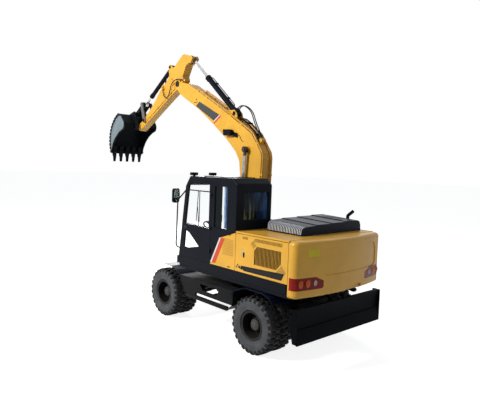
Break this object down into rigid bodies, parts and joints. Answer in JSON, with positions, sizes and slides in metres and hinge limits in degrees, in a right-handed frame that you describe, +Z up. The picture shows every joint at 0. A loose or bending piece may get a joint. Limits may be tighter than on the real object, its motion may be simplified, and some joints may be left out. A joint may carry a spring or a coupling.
{
  "type": "wheeled excavator",
  "caption": "Wheeled excavator on twin tyres with a rear dozer blade, raised one-piece boom, arm and toothed bucket, glazed cab and opening panels.",
  "frame": {"origin": "centre of the whole machine on the ground, with the boom raised as parked", "axes": "+X forward towards the bucket, +Y left, +Z up"},
  "size_m": [7.9694, 2.595, 6.1062],
  "materials": {
    "yellow_paint": "weathered gloss",
    "black_paint": "satin",
    "tyre_rubber": "dusty",
    "window_glass": "tinted",
    "seat_cloth": "woven",
    "cab_plastic": "matte",
    "rod_chrome": "polished",
    "lamp_lens": "glossy",
    "hose_rubber": "matte"
  },
  "bodies": {
    "chassis": {"chassis_frame": "black_paint", "slew_ring": "black_paint", "rear_axle": "black_paint", "front_axle": "black_paint", "drive_line": "black_paint", "step_boxes": "black_paint", "fenders": "black_paint"},
    "knuckle_left": {"knuckle_left": "black_paint"},
    "knuckle_right": {"knuckle_right": "black_paint"},
    "wheel_rear_left": {"tyre_rear_left": "tyre_rubber", "rim_rear_left": "black_paint"},
    "wheel_rear_right": {"tyre_rear_right": "tyre_rubber", "rim_rear_right": "black_paint"},
    "wheel_front_left": {"tyre_front_left": "tyre_rubber", "rim_front_left": "black_paint"},
    "wheel_front_right": {"tyre_front_right": "tyre_rubber", "rim_front_right": "black_paint"},
    "blade_arms": {"blade_arms": "black_paint"},
    "blade": {"blade": "black_paint"},
    "blade_cyl_barrel": {"blade_cyl_barrel": "black_paint"},
    "blade_cyl_rod": {"blade_cyl_rod": "rod_chrome"},
    "upper": {"upper_frame": "yellow_paint", "deck_skirts": "black_paint", "counterweight": "yellow_paint", "engine_deck": "yellow_paint", "engine_block": "black_paint", "exhaust_pipe": "black_paint", "hydraulic_tank": "yellow_paint", "fuel_tank": "yellow_paint", "tool_box": "yellow_paint", "cab_shell": "black_paint", "cab_glass": "window_glass", "operator_seat": "seat_cloth", "cab_controls": "cab_plastic", "tail_lamps": "lamp_lens", "side_rail": "black_paint", "foot_hoses": "hose_rubber"},
    "cab_door": {"cab_door": "black_paint", "door_glass": "window_glass"},
    "left_front_door": {"left_front_door": "yellow_paint"},
    "left_rear_door": {"left_rear_door": "yellow_paint"},
    "right_rear_door": {"right_rear_door": "yellow_paint"},
    "hood": {"engine_hood": "black_paint"},
    "tool_lid": {"tool_box_lid": "yellow_paint"},
    "boom": {"boom": "yellow_paint", "work_lamp": "black_paint", "loop_hoses": "hose_rubber", "stick_hose": "hose_rubber"},
    "boom_cyl_barrel": {"boom_cyl_barrel": "black_paint"},
    "boom_cyl_rod": {"boom_cyl_rod": "rod_chrome"},
    "arm": {"arm": "yellow_paint"},
    "arm_cyl_barrel": {"arm_cyl_barrel": "black_paint"},
    "arm_cyl_rod": {"arm_cyl_rod": "rod_chrome"},
    "bucket": {"bucket": "black_paint"},
    "guide_links": {"guide_links": "black_paint"},
    "h_link": {"h_link": "black_paint"},
    "bucket_cyl_barrel": {"bucket_cyl_barrel": "black_paint"},
    "bucket_cyl_rod": {"bucket_cyl_rod": "rod_chrome"}
  },
  "joints": [
    {"name": "steer_left", "type": "hinge", "parent": "chassis", "child": "knuckle_left", "pos_m": [-0.041, 0.799, 0.5275], "axis": [0, 0, 1], "range_deg": [-30, 30]},
    {"name": "steer_right", "type": "hinge", "parent": "chassis", "child": "knuckle_right", "pos_m": [-0.041, -0.799, 0.5275], "axis": [0, 0, 1], "range_deg": [-30, 30]},
    {"name": "wheel_rear_left_spin", "type": "hinge", "parent": "chassis", "child": "wheel_rear_left", "pos_m": [-2.841, 0.94, 0.5275], "axis": [0, 1, 0], "continuous": true},
    {"name": "wheel_rear_right_spin", "type": "hinge", "parent": "chassis", "child": "wheel_rear_right", "pos_m": [-2.841, -0.94, 0.5275], "axis": [0, 1, 0], "continuous": true},
    {"name": "wheel_front_left_spin", "type": "hinge", "parent": "knuckle_left", "child": "wheel_front_left", "pos_m": [-0.041, 0.94, 0.5275], "axis": [0, 1, 0], "continuous": true},
    {"name": "wheel_front_right_spin", "type": "hinge", "parent": "knuckle_right", "child": "wheel_front_right", "pos_m": [-0.041, -0.94, 0.5275], "axis": [0, 1, 0], "continuous": true},
    {"name": "blade_lift", "type": "hinge", "parent": "chassis", "child": "blade_arms", "pos_m": [-3.191, 0, 0.58], "axis": [0, -1, 0], "range_deg": [0, 44]},
    {"name": "blade_level", "type": "hinge", "parent": "blade_arms", "child": "blade", "pos_m": [-3.761, 0, 0.8], "axis": [0, -1, 0], "range_deg": [-44.01, 0]},
    {"name": "blade_cyl_barrel_swing", "type": "hinge", "parent": "chassis", "child": "blade_cyl_barrel", "pos_m": [-3.291, 0, 1.082], "axis": [0, -1, 0], "range_deg": [0, 19.98]},
    {"name": "blade_cyl_rod_slide", "type": "slide", "parent": "blade_cyl_barrel", "child": "blade_cyl_rod", "axis": [-0.7366, 0, -0.6764], "range_m": [0, 0.37624]},
    {"name": "swing", "type": "hinge", "parent": "chassis", "child": "upper", "pos_m": [-1.771, 0, 0], "axis": [0, 0, 1], "continuous": true},
    {"name": "cab_door_hinge", "type": "hinge", "parent": "upper", "child": "cab_door", "pos_m": [-1.648, 1.2573, 2.25], "axis": [0, 0, 1], "range_deg": [0, 160]},
    {"name": "left_front_door_hinge", "type": "hinge", "parent": "upper", "child": "left_front_door", "pos_m": [-2.377, 1.245, 1.8], "axis": [0, 0, -1], "range_deg": [-90, 0]},
    {"name": "left_rear_door_hinge", "type": "hinge", "parent": "upper", "child": "left_rear_door", "pos_m": [-3.676, 1.245, 1.8], "axis": [0, 0, 1], "range_deg": [0, 90]},
    {"name": "right_rear_door_hinge", "type": "hinge", "parent": "upper", "child": "right_rear_door", "pos_m": [-3.676, -1.245, 1.8], "axis": [0, 0, -1], "range_deg": [0, 90]},
    {"name": "hood_hinge", "type": "hinge", "parent": "upper", "child": "hood", "pos_m": [-3.471, 0, 2.19], "axis": [0, -1, 0], "range_deg": [0, 55]},
    {"name": "tool_lid_hinge", "type": "hinge", "parent": "upper", "child": "tool_lid", "pos_m": [-0.821, -0.325, 1.572], "axis": [-1, 0, 0], "range_deg": [0, 85]},
    {"name": "boom_lift", "type": "hinge", "parent": "upper", "child": "boom", "pos_m": [-1.701, 0, 1.84], "axis": [0, -1, 0], "range_deg": [-88, 14], "deforming": ["foot_hoses"]},
    {"name": "boom_cyl_barrel_swing", "type": "hinge", "parent": "upper", "child": "boom_cyl_barrel", "pos_m": [-1.329, 0, 1.55], "axis": [0, -1, 0], "range_deg": [-85.64, 13.62]},
    {"name": "boom_cyl_rod_slide", "type": "slide", "parent": "boom_cyl_barrel", "child": "boom_cyl_rod", "axis": [-0.0623, 0, 0.9981], "range_m": [-0.65934, 0.10498]},
    {"name": "arm_crowd", "type": "hinge", "parent": "boom", "child": "arm", "pos_m": [1.17933, 0, 5.38804], "axis": [0, 1, 0], "range_deg": [-45, 55], "deforming": ["stick_hose"]},
    {"name": "arm_cyl_barrel_swing", "type": "hinge", "parent": "boom", "child": "arm_cyl_barrel", "pos_m": [-0.92669, 0, 4.54227], "axis": [0, -1, 0], "range_deg": [-2.16, 1.77], "deforming": ["loop_hoses"]},
    {"name": "arm_cyl_rod_slide", "type": "slide", "parent": "arm_cyl_barrel", "child": "arm_cyl_rod", "axis": [0.7604, 0, 0.6494], "range_m": [-0.51802, 0.63311]},
    {"name": "bucket_curl", "type": "hinge", "parent": "arm", "child": "bucket", "pos_m": [3.02134, 0, 4.37957], "axis": [0, 1, 0], "range_deg": [-45, 100]},
    {"name": "guide_swing", "type": "hinge", "parent": "arm", "child": "guide_links", "pos_m": [2.71346, 0, 4.54813], "axis": [0, -1, 0], "range_deg": [-80.09, 36.04]},
    {"name": "h_link_swing", "type": "hinge", "parent": "bucket", "child": "h_link", "pos_m": [3.21442, 0, 4.74579], "axis": [0, -1, 0], "range_deg": [-33.09, 73.53]},
    {"name": "bucket_cyl_barrel_swing", "type": "hinge", "parent": "arm", "child": "bucket_cyl_barrel", "pos_m": [1.62917, 0, 5.87026], "axis": [0, -1, 0], "range_deg": [-2.75, 1.24]},
    {"name": "bucket_cyl_rod_slide", "type": "slide", "parent": "bucket_cyl_barrel", "child": "bucket_cyl_rod", "axis": [0.8172, 0, -0.5763], "range_m": [-0.26119, 0.58031]}
  ],
  "couplings": [
    {"joint": "steer_right", "follows": "steer_left", "ratio": 1},
    {"joint": "blade_level", "follows": "blade_lift", "ratio": -1},
    {"joint": "blade_cyl_barrel_swing", "follows": "blade_lift", "ratio": 0.45358},
    {"joint": "blade_cyl_rod_slide", "follows": "blade_lift", "m_per_rad": 0.48931},
    {"joint": "boom_cyl_barrel_swing", "follows": "boom_lift", "ratio": 0.97215},
    {"joint": "boom_cyl_rod_slide", "follows": "boom_lift", "m_per_rad": 0.4288},
    {"joint": "arm_cyl_barrel_swing", "follows": "arm_crowd", "ratio": -0.039297},
    {"joint": "arm_cyl_rod_slide", "follows": "arm_crowd", "m_per_rad": 0.65878},
    {"joint": "guide_swing", "follows": "bucket_curl", "ratio": -0.80005},
    {"joint": "h_link_swing", "follows": "bucket_curl", "ratio": 0.73456},
    {"joint": "bucket_cyl_barrel_swing", "follows": "bucket_curl", "ratio": -0.027481},
    {"joint": "bucket_cyl_rod_slide", "follows": "bucket_curl", "m_per_rad": 0.3321}
  ]
}
